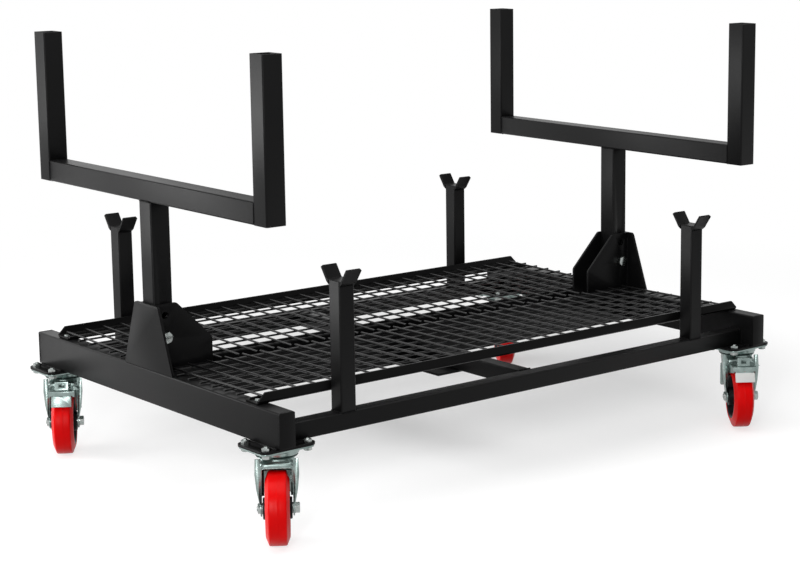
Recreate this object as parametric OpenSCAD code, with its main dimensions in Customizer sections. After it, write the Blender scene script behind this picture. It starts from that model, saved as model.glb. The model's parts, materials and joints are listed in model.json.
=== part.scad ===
// Mobile rack trolley for long goods: two folding U-frames, four V-cradles, a mesh deck and four casters.
// Millimetres. +X runs along the cart, +Y across it, +Z up. The origin is on the floor under the middle of the deck.

/* [Frame] */
// Length between the outer faces of the two end beams
frame_l = 1500; // [1300:10:1900]
// Length of an end beam, which is the width of the frame
frame_w = 1065; // [1030:5:1300]
// Height of an end beam and of a centre rail
beam_h = 80; // [70:1:100]
// Thickness of an end beam along the cart
beam_t = 40; // [35:1:50]
// Side of the square tube of the side rails, cross members and cradle posts
rail_s = 40; // [30:1:44]
// Distance from the frame's side to the centre line of a side rail
rail_inset = 60.5; // [52:0.5:72]
// Width of a centre rail
centre_rail_w = 30; // [20:1:40]
// Wall of every square and rectangular tube
tube_wall = 3; // [2:0.5:4]
// Outer corner radius of every tube
tube_r = 4; // [3.5:0.25:6]
// Thickness of the flat caps that close the end beams
cap_t = 3; // [2:0.5:5]
// Length of the plate under the middle of the frame, along the cart
centre_plate_l = 156; // [120:2:200]
// Width of the plate under the middle of the frame
centre_plate_w = 444; // [300:4:600]
// Thickness of the plate under the middle of the frame
centre_plate_t = 6; // [4:0.5:10]

/* [Cradles] */
// Distance from a cradle post's centre line to the frame's end
post_inset = 209; // [170:1:300]
// Height of a cradle post above its side rail
post_h = 290; // [200:5:320]
// Length of a cradle wing
wing_l = 38; // [30:1:50]
// Lean of a cradle wing from upright, in degrees
wing_lean = 32; // [20:1:45]
// Thickness of the bent cradle plate
cradle_t = 5; // [3:0.5:6]
// Radius of the outer corners of a cradle wing
wing_r = 8; // [4:1:12]

/* [Deck] */
// Diameter of a mesh wire
wire_d = 5; // [4:0.5:6]
// Distance between neighbouring wires
mesh_pitch = 49.4; // [40:0.2:60]
// How far the far mesh panel is laid off the near one, along the cart
mesh_offset = 8; // [6:1:12]
// Height of a deck lip
lip_h = 25; // [20:1:40]
// Width of the flat leg of a deck lip
lip_leg = 50; // [40:1:60]
// Outer bend radius of a deck lip
lip_r = 8; // [6:0.5:10]
// Length of the slanted cut at each end of a deck lip
lip_cut = 18; // [10:1:20]
// Distance from a lip's outer face to its side rail
lip_inset = 8; // [4:1:20]

/* [Brackets] */
// Thickness of a bracket's face plate and gussets
bracket_t = 6; // [4:0.5:8]
// Height of a bracket above the end beam
bracket_h = 153; // [145:1:180]
// Width of a face plate at its foot
face_foot_w = 210; // [150:2:260]
// Width of a face plate at its top
face_top_w = 100; // [80:2:140]
// Length of a gusset along the cart
gusset_l = 148; // [130:1:170]
// Length of the slanted cut on a gusset's upper corner, along the cart
gusset_cut = 92; // [60:1:94]
// Depth of a gusset's tongue between the centre rails
tongue_h = 40; // [20:1:60]
// Radius of the rounded corners of the bracket plates
bracket_r = 10; // [5:1:14]
// Height of the pivot bolt above the end beam
pivot_h = 75.5; // [70:0.5:90]
// Height of the lock hole above the pivot bolt
lock_h = 51; // [44:1:54]
// Diameter of the lock hole
lock_d = 17; // [12:0.5:20]

/* [Stands] */
// Side of the square tube of the folding stands
stand_s = 50; // [44:1:54]
// Side gap between an upright of a folded stand and the deck lip beside it
fold_gap = 1; // [0.5:0.5:4]
// Height of a crossbar's underside above the end beam
crossbar_h = 388; // [380:2:440]
// Height of an upright, from the crossbar's underside to its open top
upright_h = 359; // [250:1:420]
// Diameter of the pivot bolt
pivot_d = 16; // [12:1:20]
// Width across the flats of the pivot bolt's head and nut
pivot_flats = 24; // [22:1:30]

/* [Casters] */
// Height of a caster's own plate above its wheel, to the top of the plate
caster_head = 44; // [40:1:60]
// Distance from a swivel axis to the frame's end
caster_inset_x = 33; // [30:1:40]
// Distance from a swivel axis to the frame's side
caster_inset_y = 62.5; // [58:0.5:80]
// Thickness of the black plate welded under a corner
mount_plate_t = 6; // [5:0.5:12]
// Distance from a bolt to the end of the black plate, along the cart
plate_edge_x = 17.5; // [15.5:0.5:22.5]
// Distance from a bolt to the side of the black plate
plate_edge_y = 15; // [13:0.5:20]
// Bolt spacing along the cart
bolt_span_x = 105; // [100:0.5:108]
// Bolt spacing across the cart
bolt_span_y = 80; // [77:0.5:83]
// Diameter of a caster bolt
bolt_d = 10; // [8:1:10]
// Wheel diameter over the tread
wheel_d = 160; // [150:1:164]
// Wheel width over the tyre
wheel_w = 52; // [46:1:54]
// Width of the flat part of the tread
tread_w = 37; // [30:1:42]
// Radial depth of the tyre's slanted shoulder
shoulder_h = 18; // [10:1:20]
// Radial thickness of the tyre
tyre_t = 22; // [21:1:28]
// Distance of the axle behind the swivel axis
trail = 50; // [40:1:55]
// Diameter of the axle bolt
axle_d = 12; // [10:1:16]
// Diameter of the wheel's hub boss
boss_d = 47; // [36:1:50]
// Width of a fork over its outward flanges
fork_w = 94; // [88:1:98]
// Thickness of the fork's sheet
fork_t = 3; // [2:0.5:4]
// Yaw of each caster, in degrees: left near, left far, right near, right far
caster_yaw = [-124.5, -122.5, -126, -125]; // [-180:0.5:180]

/* [Brakes] */
// Width of a brake pedal
pedal_w = 48; // [40:1:50]
// Length of the pedal's tread plate
pedal_l = 24; // [16:1:28]
// Thickness of the brake lever's sheet
lever_t = 2.5; // [2:0.25:3]
// Diameter of the brake pivot pin
brake_pin_d = 6; // [5:0.5:7]

/* [Hidden] */
$fn = 48;

// Overrun of a cut past the faces it opens
over = 1;
// Gap between a moving piece and the piece it rests against
seat_gap = 0.3;
// Radial clearance of a shaft in its hole
run_gap = 0.05;
// Radial clearance of a bolt in a plain hole
bolt_gap = 0.5;
// Side gap between a stand's post and each gusset
side_gap = 0.5;

black = "#2c2d2f";
black_light = "#3a3b3d";
zinc = "#b4bcbc";
red = "#d9101c";
rim_black = "#1b1b1d";

// Heights
caster_h = wheel_d + caster_head;
beam_z = caster_h + mount_plate_t;
deck_z = beam_z + beam_h;
rail_z = beam_z + rail_s;
pivot_z = deck_z + pivot_h;
lock_z = pivot_z + lock_h;
crossbar_z = deck_z + crossbar_h;

// Places along the cart
half_l = frame_l / 2;
beam_inner = half_l - beam_t;
face_inner = half_l - bracket_t;
stand_x = face_inner - seat_gap - stand_s / 2;
post_x = half_l - post_inset;
caster_x = half_l - caster_inset_x;

// Places across the cart
rail_y = frame_w / 2 - rail_inset;
rail_inner = rail_y - rail_s / 2;
gusset_y = stand_s / 2 + side_gap;
centre_gap = 2 * (gusset_y + bracket_t);
centre_outer = centre_gap / 2 + centre_rail_w;
caster_y = frame_w / 2 - caster_inset_y;
lip_y = rail_inner - lip_inset;
lip_inner = lip_y - lip_leg;
stand_w = 2 * (lip_y + fold_gap + stand_s);

// Cradles
corner_lap = 0.2;

// Deck
wire_sides = 8;
wire_end_gap = 10;
seam_gap = 2;
wire_reach = half_l - wire_end_gap;
cross_wires = 2 * floor(wire_reach / mesh_pitch + 1 / 2);
near_first_wire = centre_outer - wire_d / 2;
far_first_wire = centre_outer - centre_rail_w / 2;
// Steps from a panel's first long wire, on a centre rail, to its last one, on a lip's flat leg
long_steps = floor((lip_inner + lip_leg / 2 - near_first_wire) / mesh_pitch);
lip_t = wire_d;
mesh_tilt = atan(lip_t / (long_steps * mesh_pitch));
mesh_lift = wire_d / 2 * sin(mesh_tilt);
wire_outer = lip_y - lip_r - wire_d;
gusset_end = face_inner - gusset_l;
lip_end_gap = 8;
lip_reach = half_l - lip_end_gap;
screw_d = 6;
screw_head_d = 14;
screw_head_h = 4;
screw_x = half_l - beam_t / 2;
screw_y = lip_y - lip_leg / 2 + screw_head_d / 4;

// Caster parts
wheel_r = wheel_d / 2;
rim_r = wheel_r - tyre_t;
wheel_side = wheel_w / 2;
tread_edge_r = 4;
fork_gap = 7;
fork_in = wheel_side + fork_gap;
fork_out = fork_in + fork_t;
crown_gap = 8;
crown_z = wheel_d + crown_gap;
crown_t = 5;
crown_w = 2 * (fork_in + fork_t * 2 / 3);
top_plate_t = 4;
mount_plate_l = bolt_span_x + 2 * plate_edge_x;
mount_plate_w = bolt_span_y + 2 * plate_edge_y;
top_plate_margin = 2;
top_plate_z = caster_h - top_plate_t;
race_r = 38;
race_split_z = (crown_z + crown_t + top_plate_z) / 2;
king_d = 12;
king_head_d = 20;
king_head_h = 4;
fork_front = 30;
fork_back = 54;
fork_eye_r = 17;
flange_rise = 16;
flange_lap = fork_t / 2;
leg_top = crown_z + crown_t / 2;
flange_low = 12;
wall_foot = 20;
wall_drop = 14;
wall_side_gap = 2;
plate_corner_r = 18;
boss_gap = 2;
boss_half = fork_in - boss_gap;
web_half = 8;
rim_wall = 10;
rim_step = 2;
rim_half = wheel_side - rim_step;
rim_seat = rim_r - seat_gap;
axle_head_flats = 21;
axle_head_t = 11;
axle_nut_t = 8;

// Bolts
bolt_flats = 17;
bolt_head_h = 6.4;
bolt_nut_h = 8;
bolt_proud = 3;
pivot_head_h = 10;
pivot_nut_h = 13;
pivot_proud = 4;

// Brake parts, behind the swivel axis and above the floor
brake_x = 44;
brake_drop = 12;
brake_z = wheel_d - brake_drop;
lever_boss_r = 8;
arm_gap = 2.5;
lever_gap = 4;
lever_start = fork_back + lever_gap;
arm_y = fork_in - arm_gap;
pedal_gap = 10;
pedal_turn = 36.87;
pedal_low = [trail, wheel_r] + (wheel_r + pedal_gap) * [cos(pedal_turn), sin(pedal_turn)];
pedal_lean = 24;
band_h = 14;
notch_w = 7;
notch_h = 3;
tab_w = 32;
tab_h = 20;
tab_hole_w = 13;
tab_hole_h = 9;
tab_back = 18;
ear_w = 14;
ear_h = 26;
rivet_h = 2;
rivet_d = 10;

function left_right(name) = name == "left" ? -1 : 1;
function near_far(name) = name == "near" ? -1 : 1;

// Flat shapes

function unit(v) = v / norm(v);

// Centre of the circle of radius r that rounds corner b between a and c
function corner_centre(a, b, c, r) =
    let (u = unit(a - b), w = unit(c - b), half = acos(u * w) / 2)
    b + unit(u + w) * r / sin(half);

// Point where that circle meets the side from b to a
function corner_touch(a, b, c, r) =
    let (u = unit(a - b), w = unit(c - b), half = acos(u * w) / 2)
    b + u * r / tan(half);

// Outline with some corners rounded: points is a list of [point, radius], and only outer corners take a radius
module rounded_outline(points) {
    n = len(points);
    sides = [for (i = [0:n - 1])
        let (a = points[(i + n - 1) % n][0], b = points[i][0], c = points[(i + 1) % n][0], r = points[i][1])
        each (r > 0 ? [corner_touch(a, b, c, r), corner_touch(c, b, a, r)] : [b])];
    polygon(sides);
    for (i = [0:n - 1])
        if (points[i][1] > 0)
            translate(corner_centre(points[(i + n - 1) % n][0], points[i][0], points[(i + 1) % n][0], points[i][1]))
                circle(r = points[i][1]);
}

module rounded_rect(w, h, r) {
    square([w - 2 * r, h], center = true);
    square([w, h - 2 * r], center = true);
    for (x = [-1, 1], y = [-1, 1])
        translate([x * (w / 2 - r), y * (h / 2 - r)])
            circle(r = r);
}

module tube_section(w, h) {
    difference() {
        rounded_rect(w, h, tube_r);
        rounded_rect(w - 2 * tube_wall, h - 2 * tube_wall, tube_r - tube_wall * 3 / 4);
    }
}

// Tubes, each from its own start along one axis

// Tube along X, w wide in Y and h high in Z, centred on the axis
module tube_x(l, w, h) {
    rotate([90, 0, 90])
        linear_extrude(l)
            tube_section(w, h);
}

// Tube along Y, w wide in X and h high in Z
module tube_y(l, w, h) {
    rotate([-90, 0, 0])
        linear_extrude(l)
            tube_section(w, h);
}

// Tube along Z, w wide in X and h wide in Y
module tube_z(l, w, h) {
    linear_extrude(l)
        tube_section(w, h);
}

// Hexagonal prism, flats apart
module hex(flats, h) {
    cylinder(d = flats / cos(30), h = h, $fn = 6);
}

// Frame

module beam(side) {
    color(black)
        translate([side * (half_l - beam_t / 2), -(frame_w / 2 - cap_t), beam_z + beam_h / 2])
            tube_y(frame_w - 2 * cap_t, beam_t, beam_h);
}

module beam_caps() {
    color(black_light)
        for (x = [-1, 1], y = [-1, 1])
            translate([x * (half_l - beam_t / 2), y * (frame_w / 2 - cap_t / 2) + cap_t / 2, beam_z + beam_h / 2])
                rotate([90, 0, 0])
                    linear_extrude(cap_t)
                        rounded_rect(beam_t, beam_h, tube_r);
}

module side_rail(side) {
    color(black)
        translate([-beam_inner, side * rail_y, beam_z + rail_s / 2])
            tube_x(2 * beam_inner, rail_s, rail_s);
}

module centre_rail(side) {
    color(black)
        translate([-beam_inner, side * (centre_outer - centre_rail_w / 2), beam_z + beam_h / 2])
            tube_x(2 * beam_inner, centre_rail_w, beam_h);
}

module cross_member(side) {
    span = rail_inner - centre_outer;
    color(black)
        translate([0, side * (centre_outer + span / 2) - span / 2, beam_z + rail_s / 2])
            tube_y(span, rail_s, rail_s);
}

module centre_spacer() {
    color(black)
        translate([0, -centre_gap / 2, beam_z + rail_s / 2])
            tube_y(centre_gap, rail_s, rail_s);
}

module centre_plate() {
    color(black_light)
        translate([-centre_plate_l / 2, -centre_plate_w / 2, beam_z - centre_plate_t])
            cube([centre_plate_l, centre_plate_w, centre_plate_t]);
}

// Brackets that carry the folding stands

module face_plate(side) {
    color(black_light)
        translate([side * (half_l - bracket_t / 2) - bracket_t / 2, 0, deck_z])
            rotate([90, 0, 90])
                linear_extrude(bracket_t)
                    rounded_outline([
                        [[-face_foot_w / 2, 0], 0],
                        [[face_foot_w / 2, 0], 0],
                        [[face_top_w / 2, bracket_h], bracket_r],
                        [[-face_top_w / 2, bracket_h], bracket_r]
                    ]);
}

// Gusset seen from the side, with x measured from the face plate towards the middle of the cart
module gusset_outline() {
    tongue_x = beam_t - bracket_t;
    difference() {
        union() {
            rounded_outline([
                [[0, 0], 0],
                [[gusset_l, 0], 0],
                [[gusset_l, bracket_h - gusset_cut], bracket_r],
                [[gusset_l - gusset_cut, bracket_h], bracket_r],
                [[0, bracket_h], 0]
            ]);
            translate([tongue_x, -tongue_h])
                square([gusset_l - tongue_x, tongue_h + over]);
        }
        translate([face_inner - stand_x, pivot_h])
            circle(r = pivot_d / 2 + run_gap);
        translate([face_inner - stand_x, pivot_h + lock_h])
            circle(d = lock_d);
    }
}

module gussets(side) {
    color(black)
        for (y = [-1, 1])
            translate([side * face_inner, y * (gusset_y + bracket_t / 2) + bracket_t / 2, deck_z])
                mirror([side > 0 ? 1 : 0, 0, 0])
                    rotate([90, 0, 0])
                        linear_extrude(bracket_t)
                            gusset_outline();
}

module pivot_bolt(side) {
    reach = gusset_y + bracket_t;
    color(zinc)
        translate([side * stand_x, 0, pivot_z])
            rotate([-90, 0, 0]) {
                translate([0, 0, -reach - pivot_head_h])
                    hex(pivot_flats, pivot_head_h);
                translate([0, 0, -reach])
                    cylinder(d = pivot_d, h = 2 * reach + pivot_nut_h + pivot_proud);
                translate([0, 0, reach])
                    hex(pivot_flats, pivot_nut_h);
            }
}

// Folding stands

module stand_post(side) {
    foot_r = stand_s / 2 - side_gap;
    top = crossbar_z - pivot_z;
    inside = stand_s - 2 * tube_wall;
    color(black)
        translate([side * stand_x, 0, pivot_z])
            difference() {
                union() {
                    tube_z(top, stand_s, stand_s);
                    rotate([90, 0, 0])
                        cylinder(r = foot_r, h = stand_s, center = true);
                }
                rotate([90, 0, 0])
                    cylinder(r = foot_r - tube_wall, h = inside, center = true);
                translate([-inside / 2, -inside / 2, 0])
                    cube([inside, inside, stand_s / 2]);
                rotate([90, 0, 0])
                    cylinder(r = pivot_d / 2 + run_gap, h = stand_s + 2 * over, center = true);
                translate([0, 0, lock_h])
                    rotate([90, 0, 0])
                        cylinder(d = lock_d, h = stand_s + 2 * over, center = true);
            }
}

module crossbar(side) {
    length = stand_w - 2 * stand_s;
    color(black)
        translate([side * stand_x, -length / 2, crossbar_z + stand_s / 2])
            tube_y(length, stand_s, stand_s);
}

module upright(side, across) {
    color(black)
        translate([side * stand_x, across * (stand_w - stand_s) / 2, crossbar_z])
            tube_z(upright_h, stand_s, stand_s);
}

// Cradles

module cradle_post(side, across) {
    color(black)
        translate([side * post_x, across * rail_y, rail_z])
            tube_z(post_h, rail_s, rail_s);
}

// Bent cradle plate seen along the cart, with its floor's underside at height 0
module cradle_section() {
    foot = rail_s / 2;
    tip = [foot + wing_l * sin(wing_lean), wing_l * cos(wing_lean)];
    inset = cradle_t * [cos(wing_lean), -sin(wing_lean)];
    floor_edge = foot - cradle_t * (1 / cos(wing_lean) - tan(wing_lean));
    polygon([
        [-foot, 0], [foot, 0], tip, tip - inset, [floor_edge, cradle_t],
        [-floor_edge, cradle_t], [-tip[0] + inset[0], tip[1] - inset[1]], [-tip[0], tip[1]]
    ]);
}

// What rounds the two upper corners of the wing on the side where y is positive
module wing_corners() {
    translate([0, rail_s / 2, 0])
        rotate([90 - wing_lean, 0, 0])
            translate([0, wing_l - wing_r, -over])
                linear_extrude(cradle_t + 2 * over)
                    for (x = [-1, 1])
                        difference() {
                            translate([x * (rail_s - wing_r + over) / 2, (wing_r + over) / 2])
                                square(wing_r + over, center = true);
                            translate([x * (rail_s / 2 - wing_r + corner_lap), corner_lap])
                                circle(r = wing_r);
                        }
}

module cradles(across) {
    color(black_light)
        for (side = [-1, 1])
            translate([side * post_x, across * rail_y, rail_z + post_h])
                difference() {
                    translate([-rail_s / 2, 0, 0])
                        rotate([90, 0, 90])
                            linear_extrude(rail_s)
                                cradle_section();
                    wing_corners();
                    mirror([0, 1, 0])
                        wing_corners();
                }
}

// Deck

// Round wire of flat sides, along X from x0 to x1
module wire_x(x0, x1) {
    translate([x0, 0, 0])
        rotate([0, 90, 0])
            rotate([0, 0, 180 / wire_sides])
                cylinder(d = wire_d / cos(180 / wire_sides), h = x1 - x0, $fn = wire_sides);
}

module wire_y(y0, y1) {
    translate([0, y0, 0])
        rotate([-90, 0, 0])
            rotate([0, 0, 180 / wire_sides])
                cylinder(d = wire_d / cos(180 / wire_sides), h = y1 - y0, $fn = wire_sides);
}

// Mesh panel on the side where y is positive, sloping up from its first long wire to the lip's flat leg.
// The cross wires start at seam_y, or outside the gussets near the ends
module mesh_panel(first_wire, seam_y, shift) {
    translate([0, first_wire, deck_z + mesh_lift])
        rotate([mesh_tilt, 0, 0]) {
            for (i = [0:long_steps])
                translate([0, i * mesh_pitch, wire_d / 2])
                    wire_x(-wire_reach, wire_reach);
            for (i = [0:cross_wires - 1]) {
                x = (i - (cross_wires - 1) / 2) * mesh_pitch - shift;
                start = abs(x) > gusset_end - wire_d ? max(seam_y, centre_gap / 2 + wire_d) : seam_y;
                translate([x, 0, wire_d * 3 / 2])
                    wire_y(start - first_wire, wire_outer - first_wire);
            }
        }
}

module near_mesh() {
    color(black_light)
        mirror([0, 1, 0])
            mesh_panel(near_first_wire, centre_gap / 2 + seam_gap + wire_d, 0);
}

module far_mesh() {
    color(black_light)
        mesh_panel(far_first_wire, -centre_gap / 2 - wire_d, mesh_offset);
}

// Angle strip, bent from sheet, with y from its outer face inwards
module lip_section() {
    difference() {
        rounded_outline([
            [[0, 0], lip_r],
            [[lip_leg, 0], 0],
            [[lip_leg, lip_h], 0],
            [[0, lip_h], 0]
        ]);
        rounded_outline([
            [[lip_t, lip_t], lip_r - lip_t],
            [[lip_leg + over, lip_t], 0],
            [[lip_leg + over, lip_h + over], 0],
            [[lip_t, lip_h + over], 0]
        ]);
    }
}

module lip_end_cut() {
    translate([0, over, 0])
        rotate([90, 0, 0])
            linear_extrude(lip_leg + 2 * over)
                polygon([[lip_reach - lip_cut, lip_h + over], [lip_reach - lip_cut, lip_h],
                    [lip_reach, lip_h - lip_cut], [lip_reach + over, lip_h - lip_cut],
                    [lip_reach + over, lip_h + over]]);
}

module lip(across) {
    color(black_light)
        mirror([0, across > 0 ? 0 : 1, 0])
            translate([0, lip_y, deck_z])
                difference() {
                    translate([-lip_reach, 0, 0])
                        rotate([90, 0, 90])
                            linear_extrude(2 * lip_reach)
                                mirror([1, 0, 0])
                                    lip_section();
                    lip_end_cut();
                    mirror([1, 0, 0])
                        lip_end_cut();
                    for (x = [-1, 1])
                        translate([x * screw_x, screw_y - lip_y, -over])
                            cylinder(d = screw_d + 2 * run_gap, h = lip_t + 2 * over);
                }
}

module lip_screws() {
    color(zinc)
        for (x = [-1, 1], y = [-1, 1])
            translate([x * screw_x, y * screw_y, deck_z + lip_t]) {
                hex(screw_head_d * cos(30), screw_head_h);
                translate([0, 0, -lip_t])
                    cylinder(d = screw_d, h = lip_t + screw_head_h / 2);
            }
}

// Casters

module at_caster(side, across) {
    translate([side * caster_x, across * caster_y, 0])
        children();
}

function yaw_of(side, across) = caster_yaw[(side > 0 ? 2 : 0) + (across > 0 ? 1 : 0)];

// Places a caster's turning parts, with x towards its trailing side
module turned(side, across) {
    at_caster(side, across)
        rotate([0, 0, yaw_of(side, across)])
            children();
}

module at_bolts() {
    for (x = [-1, 1], y = [-1, 1])
        translate([x * bolt_span_x / 2, y * bolt_span_y / 2, 0])
            children();
}

module bolt_holes(z, t) {
    translate([0, 0, z - over])
        at_bolts()
            cylinder(r = bolt_d / 2 + bolt_gap, h = t + 2 * over);
}

module mount_plates() {
    color(black)
        for (side = [-1, 1], across = [-1, 1])
            at_caster(side, across)
                difference() {
                    translate([0, 0, caster_h])
                        linear_extrude(mount_plate_t)
                            rounded_rect(mount_plate_l, mount_plate_w, plate_corner_r);
                    bolt_holes(caster_h, mount_plate_t);
                }
}

module caster_top_plates() {
    color(zinc)
        for (side = [-1, 1], across = [-1, 1])
            at_caster(side, across)
                difference() {
                    union() {
                        translate([0, 0, top_plate_z])
                            linear_extrude(top_plate_t)
                                rounded_rect(mount_plate_l - 2 * top_plate_margin,
                                    mount_plate_w - 2 * top_plate_margin, plate_corner_r - top_plate_margin);
                        translate([0, 0, race_split_z])
                            cylinder(r = race_r, h = top_plate_z - race_split_z + over);
                    }
                    bolt_holes(top_plate_z, top_plate_t);
                    translate([0, 0, race_split_z - over])
                        cylinder(r = king_d / 2 + run_gap, h = caster_h - race_split_z + 2 * over);
                }
}

module caster_bolts() {
    color(zinc)
        for (side = [-1, 1], across = [-1, 1])
            at_caster(side, across)
                at_bolts() {
                    translate([0, 0, top_plate_z - bolt_head_h])
                        hex(bolt_flats, bolt_head_h);
                    translate([0, 0, top_plate_z - over])
                        cylinder(d = bolt_d, h = beam_z - top_plate_z + bolt_nut_h + bolt_proud + over);
                    translate([0, 0, beam_z])
                        hex(bolt_flats, bolt_nut_h);
                }
}

// Place on a leg's front or back edge at height z. The edge runs from the crown to inside the axle eye
function leg_edge(front, z) =
    let (top_x = front ? -fork_front : fork_back,
        foot_x = trail + (front ? -1 : 1) * (fork_eye_r - fork_t),
        share = (z - wheel_r) / (leg_top - wheel_r))
    [foot_x + (top_x - foot_x) * share, z];

// One leg of a fork seen from the side, with the axle eye at its foot
module leg_outline() {
    polygon([
        leg_edge(true, leg_top),
        leg_edge(false, leg_top),
        leg_edge(false, wheel_r),
        leg_edge(true, wheel_r)
    ]);
    translate([trail, wheel_r])
        circle(r = fork_eye_r);
}

// Outward flange along a leg's back edge, on the side where y is positive
module leg_flange() {
    low = leg_edge(false, wheel_r + flange_low);
    high = leg_edge(false, crown_z + crown_t + flange_rise);
    length = norm(high - low);
    tilt = atan2(high[0] - low[0], high[1] - low[1]);
    wide = fork_w / 2 - fork_in - flange_lap;
    translate([low[0], fork_in + flange_lap, low[1]])
        rotate([0, tilt, 0])
            rotate([90, 0, 90])
                linear_extrude(fork_t, center = true)
                    polygon([[0, 0], [fork_t, 0], [wide * 3 / 4, length / 3], [wide, length * 2 / 3],
                        [wide * 9 / 10, length], [0, length]]);
}

module fork_side(braked) {
    difference() {
        translate([0, fork_out, 0])
            rotate([90, 0, 0])
                linear_extrude(fork_t)
                    leg_outline();
        translate([trail, 0, wheel_r])
            rotate([-90, 0, 0])
                cylinder(r = axle_d / 2 + run_gap, h = fork_w);
        if (braked)
            translate([brake_x, 0, brake_z])
                rotate([-90, 0, 0])
                    cylinder(r = brake_pin_d / 2 + run_gap, h = fork_w);
    }
    leg_flange();
}

// Sheet that joins the legs' front edges over the wheel and turns in on both sides of it
module fork_wall() {
    low = leg_edge(true, wheel_r + wall_foot) + [fork_t / 2, 0];
    high = leg_edge(true, leg_top) + [fork_t / 2, 0];
    window = 2 * (wheel_side + wall_side_gap);
    difference() {
        translate([0, crown_w / 2, 0])
            rotate([90, 0, 0])
                linear_extrude(crown_w)
                    polygon([low, low + [fork_t, 0], high + [fork_t, 0], high]);
        translate([-wheel_r, -window / 2, 0])
            cube([wheel_d, window, wheel_d - wall_drop]);
    }
}

module fork(side, across, braked) {
    color(zinc)
        turned(side, across) {
            fork_side(braked);
            mirror([0, 1, 0])
                fork_side(braked);
            fork_wall();
            translate([-fork_front, -crown_w / 2, crown_z])
                cube([fork_front + fork_back, crown_w, crown_t]);
            translate([0, 0, crown_z + crown_t - over])
                cylinder(r = race_r - fork_t, h = race_split_z - seat_gap - crown_z - crown_t + over);
            translate([0, 0, crown_z - king_head_h])
                cylinder(d = king_head_d, h = king_head_h + over);
            translate([0, 0, crown_z])
                cylinder(d = king_d, h = caster_h - seat_gap - crown_z);
        }
}

module at_axle(side, across) {
    turned(side, across)
        translate([trail, 0, wheel_r])
            rotate([90, 0, 0])
                children();
}

module tyre(side, across) {
    low = wheel_r - shoulder_h;
    color(red)
        at_axle(side, across)
            rotate_extrude()
                difference() {
                    rounded_outline([
                        [[rim_r, -wheel_side], 0],
                        [[low, -wheel_side], tread_edge_r],
                        [[wheel_r, -tread_w / 2], tread_edge_r],
                        [[wheel_r, tread_w / 2], tread_edge_r],
                        [[low, wheel_side], tread_edge_r],
                        [[rim_r, wheel_side], 0]
                    ]);
                    translate([0, -wheel_side - over])
                        square([rim_r, wheel_w + 2 * over]);
                }
}

module rim(side, across) {
    bore = axle_d / 2 + run_gap;
    color(rim_black)
        at_axle(side, across)
            rotate_extrude()
                polygon([
                    [bore, -boss_half], [boss_d / 2, -boss_half], [boss_d / 2 + fork_t, -web_half],
                    [rim_r - rim_wall, -web_half], [rim_r - rim_wall / 2, -rim_half], [rim_seat, -rim_half],
                    [rim_seat, rim_half], [rim_r - rim_wall / 2, rim_half], [rim_r - rim_wall, web_half],
                    [boss_d / 2 + fork_t, web_half], [boss_d / 2, boss_half], [bore, boss_half]
                ]);
}

module axle(side, across) {
    color(zinc)
        at_axle(side, across) {
            translate([0, 0, fork_out])
                hex(axle_head_flats, axle_head_t);
            translate([0, 0, -fork_out - axle_nut_t])
                hex(axle_head_flats, axle_nut_t);
            translate([0, 0, -fork_out - axle_nut_t])
                cylinder(d = axle_d, h = 2 * fork_out + axle_nut_t + over);
        }
}

// Brakes

// One short rivet through each leg and lever arm, beside the tyre
module brake_pins(side, across) {
    inner = arm_y - lever_t;
    color(zinc)
        turned(side, across)
            translate([brake_x, 0, brake_z])
                rotate([90, 0, 0])
                    for (end = [0, 1])
                        mirror([0, 0, end]) {
                            translate([0, 0, inner])
                                cylinder(d = brake_pin_d, h = fork_out + rivet_h - inner);
                            translate([0, 0, fork_out])
                                cylinder(d = rivet_d, h = rivet_h);
                        }
}

// Upper rear corner of the pedal's tread plate
pedal_top = pedal_low + pedal_l * [-sin(pedal_lean), cos(pedal_lean)];

module lever_arm() {
    difference() {
        translate([0, arm_y, 0])
            rotate([90, 0, 0])
                linear_extrude(lever_t) {
                    translate([brake_x, brake_z])
                        circle(r = lever_boss_r);
                    polygon([
                        [brake_x, brake_z - lever_boss_r],
                        [pedal_top[0], pedal_top[1]],
                        [pedal_top[0], pedal_top[1] + band_h],
                        [lever_start, pedal_top[1] + band_h],
                        [brake_x, brake_z + lever_boss_r]
                    ]);
                }
        translate([brake_x, 0, brake_z])
            rotate([-90, 0, 0])
                cylinder(r = brake_pin_d / 2 + run_gap, h = fork_w);
    }
}

module lever_band() {
    translate([pedal_top[0] - lever_t, -arm_y, pedal_top[1]])
        difference() {
            cube([lever_t, 2 * arm_y, band_h]);
            for (i = [-1, 0, 1])
                translate([-over, arm_y + i * (arm_y - notch_w) - notch_w / 2, -over])
                    cube([lever_t + 2 * over, notch_w, notch_h + over]);
        }
}

module lever_tab() {
    translate([pedal_top[0] - tab_back - lever_t, -tab_w / 2, pedal_top[1] + band_h - lever_t])
        difference() {
            cube([lever_t, tab_w, tab_h + lever_t]);
            translate([-over, (tab_w - tab_hole_w) / 2, (tab_h - tab_hole_h) / 2 + lever_t])
                cube([lever_t + 2 * over, tab_hole_w, tab_hole_h]);
        }
}

module lever_ear() {
    translate([pedal_top[0] - tab_back, arm_y - lever_t, pedal_top[1] + band_h])
        rotate([90, 0, 90])
            linear_extrude(lever_t)
                polygon([[0, 0], [ear_w, 0], [0, ear_h - band_h]]);
}

module brake_pedal(side, across) {
    color(zinc)
        turned(side, across) {
            lever_arm();
            mirror([0, 1, 0])
                lever_arm();
            lever_band();
            translate([lever_start, -arm_y, pedal_top[1] + band_h - lever_t])
                cube([pedal_top[0] - lever_start, 2 * arm_y, lever_t]);
            lever_tab();
            lever_ear();
            translate([pedal_low[0], -pedal_w / 2, pedal_low[1]])
                rotate([0, -pedal_lean, 0])
                    translate([-lever_t, 0, 0])
                        cube([lever_t, pedal_w, pedal_l + lever_t]);
        }
}

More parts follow.
